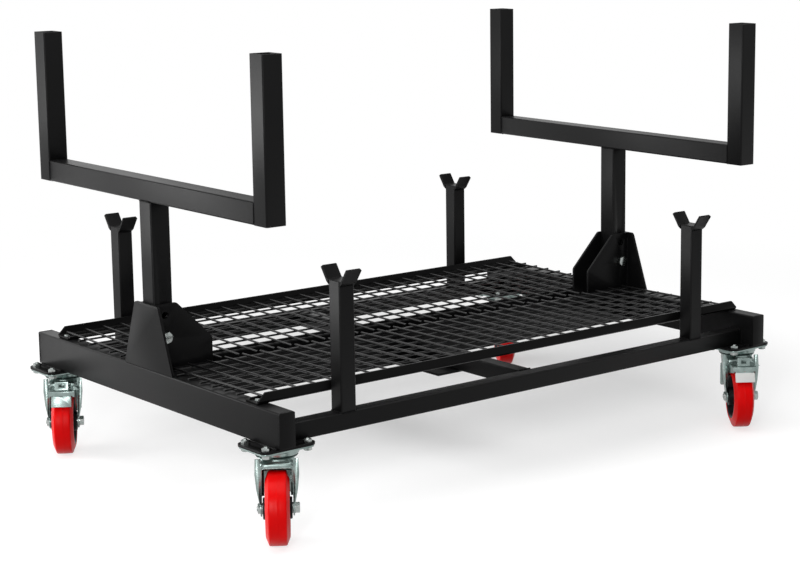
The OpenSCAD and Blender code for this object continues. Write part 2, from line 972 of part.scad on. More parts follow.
beam(-1);  // left_beam
beam(1);  // right_beam
beam_caps();
side_rail(-1);  // near_rail
side_rail(1);  // far_rail
centre_rail(-1);  // near_centre_rail
centre_rail(1);  // far_centre_rail
cross_member(-1);  // near_cross_member
cross_member(1);  // far_cross_member
centre_spacer();
centre_plate();
face_plate(-1);  // left_face_plate
face_plate(1);  // right_face_plate
gussets(-1);  // left_gussets
gussets(1);  // right_gussets
cradle_post(-1, -1);  // left_near_post
cradle_post(-1, 1);  // left_far_post
cradle_post(1, -1);  // right_near_post
cradle_post(1, 1);  // right_far_post
cradles(-1);  // near_cradles
cradles(1);  // far_cradles
near_mesh();
far_mesh();
lip(-1);  // near_lip
lip(1);  // far_lip
lip_screws();
mount_plates();
caster_top_plates();
caster_bolts();
pivot_bolt(-1);  // left_pivot_bolt
pivot_bolt(1);  // right_pivot_bolt
stand_post(-1);  // left_stand_post
crossbar(-1);  // left_crossbar
upright(-1, -1);  // left_near_upright
upright(-1, 1);  // left_far_upright
stand_post(1);  // right_stand_post
crossbar(1);  // right_crossbar
upright(1, -1);  // right_near_upright
upright(1, 1);  // right_far_upright
fork(-1, -1, false);  // left_near_fork
tyre(-1, -1);  // left_near_tyre
rim(-1, -1);  // left_near_rim
axle(-1, -1);  // left_near_axle
fork(-1, 1, true);  // left_far_fork
tyre(-1, 1);  // left_far_tyre
rim(-1, 1);  // left_far_rim
axle(-1, 1);  // left_far_axle
fork(1, -1, true);  // right_near_fork
tyre(1, -1);  // right_near_tyre
rim(1, -1);  // right_near_rim
axle(1, -1);  // right_near_axle
fork(1, 1, false);  // right_far_fork
tyre(1, 1);  // right_far_tyre
rim(1, 1);  // right_far_rim
axle(1, 1);  // right_far_axle
brake_pins(-1, 1);  // left_far_brake_pins
brake_pedal(-1, 1);  // left_far_brake_pedal
brake_pins(1, -1);  // right_near_brake_pins
brake_pedal(1, -1);  // right_near_brake_pedal
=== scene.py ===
import json
import math
import random
import bmesh
import bpy
from mathutils import Matrix, Vector


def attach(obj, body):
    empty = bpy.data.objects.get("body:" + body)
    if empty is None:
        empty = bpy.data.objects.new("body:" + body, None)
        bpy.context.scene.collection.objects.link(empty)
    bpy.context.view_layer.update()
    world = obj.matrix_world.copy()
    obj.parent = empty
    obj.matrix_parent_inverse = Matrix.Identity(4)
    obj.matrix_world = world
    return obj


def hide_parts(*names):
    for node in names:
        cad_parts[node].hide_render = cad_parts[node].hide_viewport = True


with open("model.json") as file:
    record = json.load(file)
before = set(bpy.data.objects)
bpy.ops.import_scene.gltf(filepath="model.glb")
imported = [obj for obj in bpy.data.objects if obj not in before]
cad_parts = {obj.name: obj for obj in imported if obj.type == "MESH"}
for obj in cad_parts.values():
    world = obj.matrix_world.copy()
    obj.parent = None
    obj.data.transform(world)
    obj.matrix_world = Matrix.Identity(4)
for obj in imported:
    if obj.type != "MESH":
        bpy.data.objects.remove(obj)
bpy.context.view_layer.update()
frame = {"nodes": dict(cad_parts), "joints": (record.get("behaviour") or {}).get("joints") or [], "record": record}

nodes = frame["nodes"]
scene = bpy.context.scene
mm = 0.001
print("frame loaded:", len(nodes), "nodes")

# camera, solved from the straight edges of the frame in the photograph
cameraSetup = {
    "place": (-2.9600, -3.8537, 1.3435),
    "heading": 0.85548,      # radians from +X towards +Y
    "dip": 0.17678,          # radians below the horizon
    "roll": 0.00325,
    "focalPixels": 1953.65,
    "centrePixels": (522.73, 249.97),
    "imageSize": (800, 580),
}


def makeCamera(setup):
    c, s = math.cos(setup["heading"]), math.sin(setup["heading"])
    cd, sd = math.cos(setup["dip"]), math.sin(setup["dip"])
    forward = Vector((c * cd, s * cd, -sd))
    right = Vector((s, -c, 0))
    down = forward.cross(right)
    cr, sr = math.cos(setup["roll"]), math.sin(setup["roll"])
    right, down = cr * right + sr * down, -sr * right + cr * down
    wide, high = setup["imageSize"]
    cx, cy = setup["centrePixels"]
    data = bpy.data.cameras.new("camera")
    data.sensor_width = 36
    data.lens = setup["focalPixels"] * data.sensor_width / wide
    data.shift_x = (wide / 2 - cx) / wide
    data.shift_y = (cy - high / 2) / wide
    data.clip_end = 200
    camera = bpy.data.objects.new("camera", data)
    turn = Matrix((right, -down, -forward)).transposed().to_4x4()
    camera.matrix_world = Matrix.Translation(setup["place"]) @ turn
    scene.collection.objects.link(camera)
    scene.camera = camera


makeCamera(cameraSetup)
scene.view_settings.view_transform = "Standard"
print("camera placed")


# shader helpers
def newGroup(name, inputs, outputs):
    group = bpy.data.node_groups.new(name, "ShaderNodeTree")
    for label, kind, value in inputs:
        socket = group.interface.new_socket(name=label, in_out="INPUT", socket_type=kind)
        socket.default_value = value
    for label, kind in outputs:
        group.interface.new_socket(name=label, in_out="OUTPUT", socket_type=kind)
    return group, group.nodes.new("NodeGroupInput"), group.nodes.new("NodeGroupOutput")


def addNode(tree, kind, settings=None, **values):
    node = tree.nodes.new(kind)
    for key, value in (settings or {}).items():
        setattr(node, key, value)
    for key, value in values.items():
        node.inputs[key.replace("_", " ")].default_value = value
    return node


def mathNode(tree, operation, a, b):
    node = addNode(tree, "ShaderNodeMath", {"operation": operation})
    for index, value in enumerate((a, b)):
        if hasattr(value, "is_linked"):
            tree.links.new(value, node.inputs[index])
        else:
            node.inputs[index].default_value = value
    return node.outputs[0]


def rangeNode(tree, value, low, high, toLow, toHigh):
    node = tree.nodes.new("ShaderNodeMapRange")
    tree.links.new(value, node.inputs["Value"])
    for label, number in (("From Min", low), ("From Max", high), ("To Min", toLow), ("To Max", toHigh)):
        if hasattr(number, "is_linked"):
            tree.links.new(number, node.inputs[label])
        else:
            node.inputs[label].default_value = number
    return node.outputs["Result"]


# powder coat: fine orange peel, slow changes of tone, and a little dust on faces that look up
def makeCoatGroup():
    group, gin, gout = newGroup("powderCoat", [
        ("Color", "NodeSocketColor", (0.02, 0.02, 0.021, 1)),
        ("Peel Scale", "NodeSocketFloat", 420.0),
        ("Tone Change", "NodeSocketFloat", 0.25),
        ("Base Roughness", "NodeSocketFloat", 0.4),
        ("Roughness Change", "NodeSocketFloat", 0.08),
        ("Dust", "NodeSocketFloat", 0.0),
    ], [("Color", "NodeSocketColor"), ("Roughness", "NodeSocketFloat"), ("Height", "NodeSocketFloat")])
    link = group.links.new
    place = addNode(group, "ShaderNodeTexCoord").outputs["Object"]
    slow = addNode(group, "ShaderNodeTexNoise", Scale=5.0, Detail=4.0, Roughness=0.6)
    peel = addNode(group, "ShaderNodeTexNoise", Detail=2.0, Roughness=0.5)
    fleck = addNode(group, "ShaderNodeTexNoise", Scale=160.0, Detail=3.0, Roughness=0.7)
    for texture in (slow, peel, fleck):
        link(place, texture.inputs["Vector"])
    link(gin.outputs["Peel Scale"], peel.inputs["Scale"])
    change = mathNode(group, "MULTIPLY", mathNode(group, "SUBTRACT", slow.outputs["Fac"], 0.5),
                      gin.outputs["Tone Change"])
    tone = mathNode(group, "ADD", mathNode(group, "MULTIPLY", change, 2.0), 1.0)
    scaled = addNode(group, "ShaderNodeVectorMath", {"operation": "SCALE"})
    link(gin.outputs["Color"], scaled.inputs[0])
    link(tone, scaled.inputs["Scale"])
    normal = addNode(group, "ShaderNodeSeparateXYZ")
    link(addNode(group, "ShaderNodeNewGeometry").outputs["Normal"], normal.inputs[0])
    upward = rangeNode(group, normal.outputs["Z"], 0.6, 1.0, 0.0, 1.0)
    speck = rangeNode(group, fleck.outputs["Fac"], 0.45, 0.8, 0.0, 1.0)
    dust = mathNode(group, "MULTIPLY", mathNode(group, "MULTIPLY", upward, speck), gin.outputs["Dust"])
    mix = addNode(group, "ShaderNodeMix", {"data_type": "RGBA"})
    mix.inputs["B"].default_value = (0.28, 0.27, 0.26, 1)
    link(dust, mix.inputs["Factor"])
    link(scaled.outputs[0], mix.inputs["A"])
    link(mix.outputs["Result"], gout.inputs["Color"])
    wander = mathNode(group, "MULTIPLY", mathNode(group, "SUBTRACT", slow.outputs["Fac"], 0.5),
                      gin.outputs["Roughness Change"])
    rough = mathNode(group, "ADD", mathNode(group, "ADD", gin.outputs["Base Roughness"],
                                            mathNode(group, "MULTIPLY", wander, 2.0)),
                     mathNode(group, "MULTIPLY", dust, 0.4))
    link(rough, gout.inputs["Roughness"])
    link(peel.outputs["Fac"], gout.inputs["Height"])
    return group


# zinc plate: cloudy patches between two tints, and rolled streaks in the relief and the roughness
def makeZincGroup():
    group, gin, gout = newGroup("zincPlate", [
        ("Light Tint", "NodeSocketColor", (0.6, 0.63, 0.62, 1)),
        ("Dark Tint", "NodeSocketColor", (0.42, 0.47, 0.46, 1)),
        ("Cloud Scale", "NodeSocketFloat", 28.0),
        ("Base Roughness", "NodeSocketFloat", 0.32),
    ], [("Color", "NodeSocketColor"), ("Roughness", "NodeSocketFloat"), ("Height", "NodeSocketFloat")])
    link = group.links.new
    place = addNode(group, "ShaderNodeTexCoord").outputs["Object"]
    cloud = addNode(group, "ShaderNodeTexNoise", Detail=5.0, Roughness=0.65, Distortion=0.4)
    streak = addNode(group, "ShaderNodeTexNoise", Scale=1.0, Detail=3.0)
    stretch = addNode(group, "ShaderNodeMapping")
    stretch.inputs["Scale"].default_value = (60, 60, 700)
    link(place, stretch.inputs["Vector"])
    link(stretch.outputs[0], streak.inputs["Vector"])
    link(place, cloud.inputs["Vector"])
    link(gin.outputs["Cloud Scale"], cloud.inputs["Scale"])
    amount = rangeNode(group, cloud.outputs["Fac"], 0.35, 0.68, 0.0, 1.0)
    mix = addNode(group, "ShaderNodeMix", {"data_type": "RGBA"})
    link(amount, mix.inputs["Factor"])
    link(gin.outputs["Light Tint"], mix.inputs["A"])
    link(gin.outputs["Dark Tint"], mix.inputs["B"])
    link(mix.outputs["Result"], gout.inputs["Color"])
    rough = mathNode(group, "ADD", gin.outputs["Base Roughness"],
                     mathNode(group, "MULTIPLY",
                              mathNode(group, "SUBTRACT", streak.outputs["Fac"], 0.5), 0.25))
    link(rough, gout.inputs["Roughness"])
    height = mathNode(group, "ADD", mathNode(group, "MULTIPLY", cloud.outputs["Fac"], 0.6),
                      streak.outputs["Fac"])
    link(height, gout.inputs["Height"])
    return group


coatGroup = makeCoatGroup()
zincGroup = makeZincGroup()


def startMaterial(name):
    material = bpy.data.materials.new(name)
    material.use_nodes = True
    tree = material.node_tree
    shader = tree.nodes["Principled BSDF"]
    return material, tree, shader


def placeGroup(tree, shader, group, bump, bumpDistance, values):
    node = tree.nodes.new("ShaderNodeGroup")
    node.node_tree = group
    for label, value in values.items():
        node.inputs[label].default_value = value
    tree.links.new(node.outputs["Color"], shader.inputs["Base Color"])
    tree.links.new(node.outputs["Roughness"], shader.inputs["Roughness"])
    relief = tree.nodes.new("ShaderNodeBump")
    relief.inputs["Strength"].default_value = bump
    relief.inputs["Distance"].default_value = bumpDistance
    tree.links.new(node.outputs["Height"], relief.inputs["Height"])
    tree.links.new(relief.outputs["Normal"], shader.inputs["Normal"])


def makeCoat(name, color, roughness, specular=0.5, dust=0.0, peelScale=420.0, bump=0.25, tone=0.25):
    material, tree, shader = startMaterial(name)
    placeGroup(tree, shader, coatGroup, bump, 0.0004, {
        "Color": (*color, 1), "Peel Scale": peelScale, "Tone Change": tone,
        "Base Roughness": roughness, "Roughness Change": 0.08, "Dust": dust})
    shader.inputs["Specular IOR Level"].default_value = specular
    return material


def makeZinc(name, lightTint, darkTint, roughness, cloudScale):
    material, tree, shader = startMaterial(name)
    placeGroup(tree, shader, zincGroup, 0.2, 0.0003, {
        "Light Tint": (*lightTint, 1), "Dark Tint": (*darkTint, 1),
        "Cloud Scale": cloudScale, "Base Roughness": roughness})
    shader.inputs["Metallic"].default_value = 1.0
    return material


paints = {
    "frame": makeCoat("frameCoat", (0.0045, 0.0045, 0.0047), 0.36, specular=0.1, dust=0.03),
    "plate": makeCoat("plateCoat", (0.004, 0.004, 0.0042), 0.38, specular=0.09, dust=0.03),
    "deck": makeCoat("deckCoat", (0.004, 0.004, 0.0041), 0.38, specular=0.07, dust=0.03),
    "wire": makeCoat("wireCoat", (0.006, 0.006, 0.0063), 0.34, specular=0.2, dust=0.08, peelScale=900.0),
    "weld": makeCoat("weldCoat", (0.005, 0.005, 0.0053), 0.42, specular=0.05, peelScale=700.0, bump=0.35),
    # painted reflection: this white stands in for the light that the right near pedal's tread plate reflects
    "pedal": makeCoat("pedalReflectionCoat", (0.9, 0.9, 0.88), 0.35, peelScale=600.0, tone=0.05),
    "rim": makeCoat("rimCoat", (0.0045, 0.004, 0.0048), 0.42, specular=0.12, peelScale=300.0, bump=0.4),
    "zinc": makeZinc("forkZinc", (0.29, 0.35, 0.335), (0.16, 0.205, 0.195), 0.3, 26.0),
    "bolt": makeZinc("boltZinc", (0.42, 0.44, 0.43), (0.24, 0.27, 0.26), 0.26, 60.0),
}


# red polyurethane: a nearly even colour, a fine grain and a soft sheen
def makeTread():
    material, tree, shader = startMaterial("redTread")
    place = addNode(tree, "ShaderNodeTexCoord").outputs["Object"]
    cloud = addNode(tree, "ShaderNodeTexNoise", Scale=30.0, Detail=4.0, Roughness=0.6)
    grain = addNode(tree, "ShaderNodeTexNoise", Scale=500.0, Detail=2.0)
    tree.links.new(place, cloud.inputs["Vector"])
    tree.links.new(place, grain.inputs["Vector"])
    mix = addNode(tree, "ShaderNodeMix", {"data_type": "RGBA"})
    mix.inputs["A"].default_value = (1.0, 0.0005, 0.001, 1)
    mix.inputs["B"].default_value = (0.92, 0.0005, 0.001, 1)
    tree.links.new(rangeNode(tree, cloud.outputs["Fac"], 0.35, 0.65, 0.0, 1.0), mix.inputs["Factor"])
    tree.links.new(mix.outputs["Result"], shader.inputs["Base Color"])
    tree.links.new(rangeNode(tree, cloud.outputs["Fac"], 0.3, 0.7, 0.3, 0.42), shader.inputs["Roughness"])
    relief = addNode(tree, "ShaderNodeBump", Strength=0.12, Distance=0.0004)
    tree.links.new(grain.outputs["Fac"], relief.inputs["Height"])
    tree.links.new(relief.outputs["Normal"], shader.inputs["Normal"])
    shader.inputs["Specular IOR Level"].default_value = 0.12
    return material


paints["tread"] = makeTread()
slotPaint = {
    "frame_paint": "frame", "plate_paint": "plate", "deck_paint": "deck", "caster_zinc": "zinc",
    "fastener_zinc": "bolt", "red_tread": "tread", "black_rim": "rim", "pedal_paint": "pedal",
}
nodeSlot = {row["node"]: row["material_slot"] for row in frame["record"]["subparts"]}
for name, node in nodes.items():
    paint = "wire" if name.endswith("_mesh") else slotPaint[nodeSlot[name]]
    paint = "zinc" if name.endswith("_brake_pedal") else paint
    node.data.materials.clear()
    node.data.materials.append(paints[paint])
print("materials made:", len(paints))


# mesh builders. Every one returns (points, faces) in millimetres, and addPiece turns them into metres
def merged(parts):
    points, faces = [], []
    for partPoints, partFaces in parts:
        start = len(points)
        points += partPoints
        faces += [tuple(i + start for i in face) for face in partFaces]
    return points, faces


def moved(part, matrix):
    return [tuple(matrix @ Vector(p)) for p in part[0]], part[1]


def ringAngles(steps):
    return [2 * math.pi * k / steps for k in range(steps)]


def ringFaces(rings, count):
    # faces between neighbouring rings of count points each
    faces = []
    for k in range(rings - 1):
        here, ahead = k * count, (k + 1) * count
        for i in range(count):
            after = (i + 1) % count
            faces.append((here + i, here + after, ahead + after, ahead + i))
    return faces


def endFaces(rings, count):
    # flat caps on the first and the last ring
    last = (rings - 1) * count
    return [tuple(range(count - 1, -1, -1)), tuple(range(last, last + count))]


sharpAngle = 40     # degrees; edges that turn by more than this are shaded sharp


def addPiece(name, part, paint, body, replaced=()):
    mesh = bpy.data.meshes.new(name)
    mesh.from_pydata([tuple(c * mm for c in p) for p in part[0]], [], part[1])
    mesh.validate()
    piece = bpy.data.objects.new(name, mesh)
    scene.collection.objects.link(piece)
    work = bmesh.new()
    work.from_mesh(mesh)
    bmesh.ops.recalc_face_normals(work, faces=work.faces)
    for edge in work.edges:
        if len(edge.link_faces) == 2 and edge.calc_face_angle(0) > math.radians(sharpAngle):
            edge.smooth = False
    work.to_mesh(mesh)
    work.free()
    mesh.polygons.foreach_set("use_smooth", [True] * len(mesh.polygons))
    mesh.materials.append(paints[paint])
    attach(piece, body)
    if replaced:
        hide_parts(*replaced)
    return piece


def lathe(profile, segments=96):
    # profile: (radius, height) from one end to the other; a radius of 0 closes that end
    points, faces, rings = [], [], []
    for radius, height in profile:
        if radius < 1e-6:
            rings.append([len(points)])
            points.append((0, 0, height))
        else:
            rings.append(list(range(len(points), len(points) + segments)))
            points += [(radius * math.cos(a), radius * math.sin(a), height) for a in ringAngles(segments)]
    for low, high in zip(rings, rings[1:]):
        for k in range(segments):
            a, b = low[k % len(low)], low[(k + 1) % len(low)]
            c, d = high[(k + 1) % len(high)], high[k % len(high)]
            faces.append(tuple(dict.fromkeys((a, b, c, d))))
    return points, [f for f in faces if len(f) > 2]


def closedLathe(profile, segments=96):
    # a ring: the last point joins the first
    points, faces = lathe(profile + [profile[0]], segments)
    count = len(profile) * segments
    faces = [tuple(i % count if i >= count else i for i in f) for f in faces]
    return points[:count], faces


def tube(path, radii, sides=8):
    # round tube along path, with one radius per point and flat ends
    points = []
    side = None
    for k, here in enumerate(path):
        ahead = Vector(path[min(k + 1, len(path) - 1)]) - Vector(path[max(k - 1, 0)])
        ahead.normalize()
        if side is None:
            side = ahead.cross(Vector((0, 0, 1)) if abs(ahead.z) < 0.9 else Vector((1, 0, 0)))
        side = (side - ahead * side.dot(ahead)).normalized()
        up = ahead.cross(side)
        for angle in ringAngles(sides):
            out = math.cos(angle) * side + math.sin(angle) * up
            points.append(tuple(Vector(here) + radii[k] * out))
    return points, ringFaces(len(path), sides) + endFaces(len(path), sides)


def hexPrism(flats, height, chamferBottom=False, bore=0.0):
    # hexagon with the round chamfer that a turned head has; stands on height 0
    sides = 48
    chamferShare, chamferAngle = 0.96, 28
    inner = flats / 2 * chamferShare
    slope = math.tan(math.radians(chamferAngle))
    angles = ringAngles(sides)
    reach = [flats / 2 / math.cos((a + math.pi / 6) % (math.pi / 3) - math.pi / 6) for a in angles]
    drop = [(r - inner) * slope for r in reach]

    def ring(radii, heights):
        return [(r * math.cos(a), r * math.sin(a), h) for r, a, h in zip(radii, angles, heights)]
    low = [d if chamferBottom else 0.0 for d in drop]
    high = [height - d for d in drop]
    rows = [ring([inner] * sides if chamferBottom else reach, [0.0] * sides)]
    if chamferBottom:
        rows.append(ring(reach, low))
    rows.append(ring(reach, high))
    rows.append(ring([inner] * sides, [height] * sides))
    if bore:
        rows = [ring([bore] * sides, [0.0] * sides)] + rows + [ring([bore] * sides, [height] * sides)]
    points = [p for row in rows for p in row]
    faces = ringFaces(len(rows), sides)
    if bore:
        last = (len(rows) - 1) * sides
        for k in range(sides):
            after = (k + 1) % sides
            faces.append((after, k, k + last, after + last))
    else:
        faces += endFaces(len(rows), sides)
    return points, faces


def thread(radius, length, pitch, sides=24):
    # outside thread: the radius follows a real helix, with a plain chamfered tip
    depth = 0.61 * pitch
    rows = max(4, int(length / pitch * 6))
    points = []
    for k in range(rows + 1):
        z = length * k / rows
        tip = min(1.0, (length - z) / (pitch * 0.8))
        for s, angle in enumerate(ringAngles(sides)):
            phase = (z / pitch - s / sides) % 1.0
            groove = abs(phase - 0.5) * 2
            r = radius - depth * groove * 0.9 - (1 - tip) * depth
            points.append((r * math.cos(angle), r * math.sin(angle), z))
    return points, ringFaces(rows + 1, sides) + endFaces(rows + 1, sides)


def easeEdges(piece, width, harden=False):
    # rounds every edge that turns by more than 35 degrees
    ease = piece.modifiers.new("round", "BEVEL")
    ease.width = width
    ease.segments = 2
    ease.limit_method = "ANGLE"
    ease.angle_limit = math.radians(35)
    ease.harden_normals = harden


def washer(bore, radius, height):
    edge = height * 0.2
    return closedLathe([(bore, 0), (radius - edge, 0), (radius, edge), (radius, height - edge),
                        (radius - edge, height), (bore, height)], 40)


# weld beads: overlapping ripples along a straight seam
weldSetup = {"ripple": 4.6, "step": 1.15, "wander": 0.12, "swell": 0.16}


def weldBead(start, end, radius, seed):
    draw = random.Random(seed)
    a, b = Vector(start), Vector(end)
    length = (b - a).length
    count = max(4, int(length / weldSetup["step"]))
    path, radii = [], []
    drift = draw.uniform(0, 6.28)
    for k in range(count + 1):
        t = k / count
        run = length * t
        wave = abs(math.sin(math.pi * run / weldSetup["ripple"] + drift))
        size = radius * (1 - weldSetup["swell"] + weldSetup["swell"] * 1.6 * wave)
        size *= 1 + weldSetup["wander"] * math.sin(run / 9.0 + drift) + draw.uniform(-0.03, 0.03)
        if k in (0, count):
            size *= 0.45
        shift = Vector((draw.uniform(-1, 1), draw.uniform(-1, 1), draw.uniform(-1, 1))) * radius * 0.05
        path.append(tuple(a.lerp(b, t) + shift))
        radii.append(size)
    return tube(path, radii, 8)


def weldSeams(seams):
    return merged([weldBead(a, b, r, 100 + k) for k, (a, b, r) in enumerate(seams)])


frameSizes = {
    "beamOuter": 750, "beamInner": 710, "beamLow": 210, "beamTop": 290, "railTop": 250, "railOut": 492,
    "railIn": 452, "centreOut": 61.5, "centreIn": 31.5, "crossHalf": 20, "postX": 541, "postY": 472,
    "postHalf": 20, "cradleToe": 528.5, "faceInner": 744, "gussetOut": 31.5, "gussetEnd": 596,
    "faceFootHalf": 105, "capY": 529.5, "plateX": (647, 787), "plateY": (415, 525),
}


def frameSeams(f):
    seams = []
    low, top, rail = f["beamLow"], f["beamTop"], f["railTop"]

    def upright(x, y, start, end, radius):
        seams.append(((x, y, start), (x, y, end), radius))

    def across(x, start, end, z, radius):
        seams.append(((x, start, z), (x, end, z), radius))

    def along(start, end, y, z, radius):
        seams.append(((start, y, z), (end, y, z), radius))

    for sx in (-1, 1):
        inner, outer = sx * f["beamInner"], sx * f["beamOuter"]
        for sy in (-1, 1):
            # side rails on the end beams
            upright(inner, sy * f["railOut"], low + 3, rail - 2, 2.6)
            upright(inner, sy * f["railIn"], low + 3, rail - 2, 2.4)
            across(inner, sy * (f["railIn"] + 2), sy * (f["railOut"] - 2), rail, 2.6)
            # centre rails on the end beams
            upright(inner, sy * f["centreOut"], low + 4, top - 4, 2.6)
            across(inner, sy * (f["centreIn"] + 2), sy * (f["centreOut"] - 2), top, 1.6)
            # cradle posts on the side rails, and the bent cradles on the posts
            for side in (-1, 1):
                postX, postY, half = sx * f["postX"], sy * f["postY"], f["postHalf"]
                across(postX + side * half, postY - half + 2, postY + half - 2, rail, 2.5)
                along(postX - half + 3, postX + half - 3, postY + side * half, rail, 1.3)
                along(postX - half + 3, postX + half - 3, postY + side * half, f["cradleToe"], 1.8)
            # gussets on the face plate, the beam and the centre rails
            upright(sx * f["faceInner"], sy * f["gussetOut"], top + 4, top + 140, 2.6)
            along(sx * (f["gussetEnd"] + 4), sx * (f["faceInner"] - 3), sy * f["gussetOut"], top, 2.2)
            # face plate on the beam
            across(sx * f["faceInner"], sy * (f["gussetOut"] + 6), sy * (f["faceFootHalf"] - 4), top, 2.4)
            # black corner plates under the beams and rails
            for x in (outer, inner):
                across(x, sy * (f["plateY"][0] + 4), sy * (f["plateY"][1] - 3), low, 2.8)
            for y in (f["railOut"], f["railIn"]):
                along(sx * (f["plateX"][0] + 3), sx * (f["beamInner"] - 4), sy * y, low, 2.2)
            # ground seams round the flat end caps
            for x in (outer - sx * 0.5, inner + sx * 0.5):
                upright(x, sy * f["capY"], low + 4, top - 4, 0.9)
            along(sx * (f["beamInner"] + 4), sx * (f["beamOuter"] - 4), sy * f["capY"], top - 0.5, 0.9)
    # cross tubes at mid-length
    half = f["crossHalf"]
    for sy in (-1, 1):
        for y in (f["railIn"], f["centreOut"]):
            for x in (-half, half):
                upright(x, sy * y, low + 3, rail - 3, 2.2)
            along(-half + 2, half - 2, sy * y, rail, 2.4)
        along(-half + 2, half - 2, sy * f["centreIn"], rail, 2.4)
    return seams


addPiece("frameWelds", weldSeams(frameSeams(frameSizes)), "weld", "frame")

standSizes = {"x": 718.7, "half": 25, "barLow": 678, "barTop": 728, "uprightIn": 445, "outwards": 1.8}


def standSeams(f, sx):
    seams = []
    x, half, low, top = sx * f["x"], f["half"], f["barLow"], f["barTop"]
    start, end = x - half + 3, x + half - 3
    for side in (-1, 1):
        # crossbar into the uprights; the upper beads sit a little outwards, clear of the lips when folded
        y = side * f["uprightIn"]
        out = y + side * f["outwards"]
        for face in (-half, half):
            seams.append(((x + face, out, low + 4), (x + face, out, top - 2), 1.5))
        seams.append(((start + 1, out, top), (end - 1, out, top), 1.9))
        seams.append(((start, y, low), (end, y, low), 1.2))
        # post under the crossbar
        seams.append(((x + side * half, -half + 3, low), (x + side * half, half - 3, low), 1.7))
        seams.append(((start, side * half, low), (end, side * half, low), 2.4))
    return seams


for side, sx in (("left", -1), ("right", 1)):
    beads = weldSeams(standSeams(standSizes, sx))
    addPiece(side + "StandWelds", beads, "weld", side + "_stand")
print("weld beads made")

# V-cradles: one bent plate on each post, its lower bends wrapped over the post's top edges
cradleSizes = {
    "half": 20, "postTop": 540, "floor": 541.6, "toe": (20.1, 529.5), "bend": (28, 535.3),
    "heel": (32.3, 542), "tipOut": (46.5, 567), "tipIn": (42.5, 569.3), "insideFoot": 25.5, "corner": 3.0,
    "edge": 0.7,
}


def cradlePlate(s):
    # half outline in Y and Z, from the outer toe round the tip to the floor
    rows = [s["toe"], s["bend"], s["heel"], s["tipOut"], s["tipIn"], (s["insideFoot"], s["floor"])]
    halfWide = s["half"]
    low, foot = (s["toe"][0], s["postTop"] + 0.1), (0, s["floor"])
    outline = rows + [foot] + [(-y, z) for y, z in reversed(rows)] + [(-low[0], low[1]), low]
    drop = Vector((s["heel"][0] - s["tipOut"][0], s["heel"][1] - s["tipOut"][1])).normalized()
    points = []
    # the rows near each end draw the wings' tips down, which rounds their upper corners
    corner = s["corner"]
    ends = [(halfWide - corner * inset, corner * cut) for inset, cut in ((0, 1), (0.3, 0.3), (1, 0))]
    stations = [(-x, cut) for x, cut in ends] + [(x, cut) for x, cut in reversed(ends)]
    for x, cut in stations:
        for y, z in outline:
            high = z > s["heel"][1] + 1
            share = cut if high else 0
            points.append((x, y + math.copysign(drop.x * share, y), z + drop.y * share))
    return points, ringFaces(len(stations), len(outline)) + endFaces(len(stations), len(outline))


for label, sy in (("near", -1), ("far", 1)):
    spots = [Matrix.Translation((sx * frameSizes["postX"], sy * frameSizes["postY"], 0)) for sx in (-1, 1)]
    plates = [moved(cradlePlate(cradleSizes), spot) for spot in spots]
    cradle = addPiece(label + "CradlePlates", merged(plates), "plate", "frame",
                      [label + "_cradles"])
    easeEdges(cradle, cradleSizes["edge"] * mm)
print("cradle plates made")

# mesh panels: round wires, pressed into each other at every crossing
meshSetup = {
    "radius": 2.5, "pitch": 49.4, "steps": 7, "crossWires": 30, "deck": 290, "lipThick": 5, "reach": 740,
    "outer": 431, "gussetEnd": 591, "besideGusset": 36.5, "bow": 0.35, "bite": 0.35,
    "near": {"first": 59, "start": 38.5, "shift": 0, "side": -1},
    "far": {"first": 46.5, "start": -36.5, "shift": 8, "side": 1},
}


def meshPanel(m, panel, seed):
    draw = random.Random(seed)
    tilt = math.atan(m["lipThick"] / (m["steps"] * m["pitch"]))
    turn = Matrix.Translation((0, panel["first"], m["deck"])) @ Matrix.Rotation(tilt, 4, "X")
    if panel["side"] < 0:
        turn = Matrix.Scale(-1, 4, (0, 1, 0)) @ turn
    r = m["radius"]
    wires = []
    longPlaces = [k * m["pitch"] for k in range(m["steps"] + 1)]
    middle = (m["crossWires"] - 1) / 2
    crossPlaces = [(k - middle) * m["pitch"] - panel["shift"] for k in range(m["crossWires"])]
    longSteps, crossSteps = 60, 16
    for y in longPlaces:
        drift = draw.uniform(0, 6.28)
        spots = [-m["reach"] + 2 * m["reach"] * k / longSteps for k in range(longSteps + 1)]
        path = [(x, y + m["bow"] * math.sin(x / 130 + drift), r) for x in spots]
        wires.append(tube(path, [r] * len(path), 10))
    for x in crossPlaces:
        start = max(panel["start"], m["besideGusset"]) if abs(x) > m["gussetEnd"] else panel["start"]
        low, high = start - panel["first"], m["outer"] - panel["first"]
        drift = draw.uniform(0, 6.28)
        spots = [low + (high - low) * k / crossSteps for k in range(crossSteps + 1)]
        path = [(x + m["bow"] * math.sin(y / 90 + drift), y, 3 * r - m["bite"]) for y in spots]
        wires.append(tube(path, [r] * len(path), 10))
        for y in longPlaces:
            # the squeezed weld nugget between the two wires
            nugget = lathe([(0, -1.7), (1.9, -1.2), (2.7, 0), (1.9, 1.2), (0, 1.7)], 8)
            wires.append(moved(nugget, Matrix.Translation((x, y, 2 * r - 0.2))))
    return moved(merged(wires), turn)


for label, seed in (("near", 11), ("far", 12)):
    panel = meshPanel(meshSetup, meshSetup[label], seed)
    addPiece(label + "MeshPanel", panel, "wire", "frame", [label + "_mesh"])
print("mesh panels made")

# wheels: turned profiles round each axle
jointOf = {joint["name"]: joint for joint in frame["joints"]}
corners = ["left_near", "left_far", "right_near", "right_far"]
wheelSizes = {
    "radius": 80, "halfWide": 26, "treadHalf": 18.5, "shoulderLow": 62, "rimRadius": 58,
    "bore": 6.05, "bossRadius": 23.5, "bossHalf": 31, "webHalf": 8, "forkIn": 33, "forkOut": 36,
}


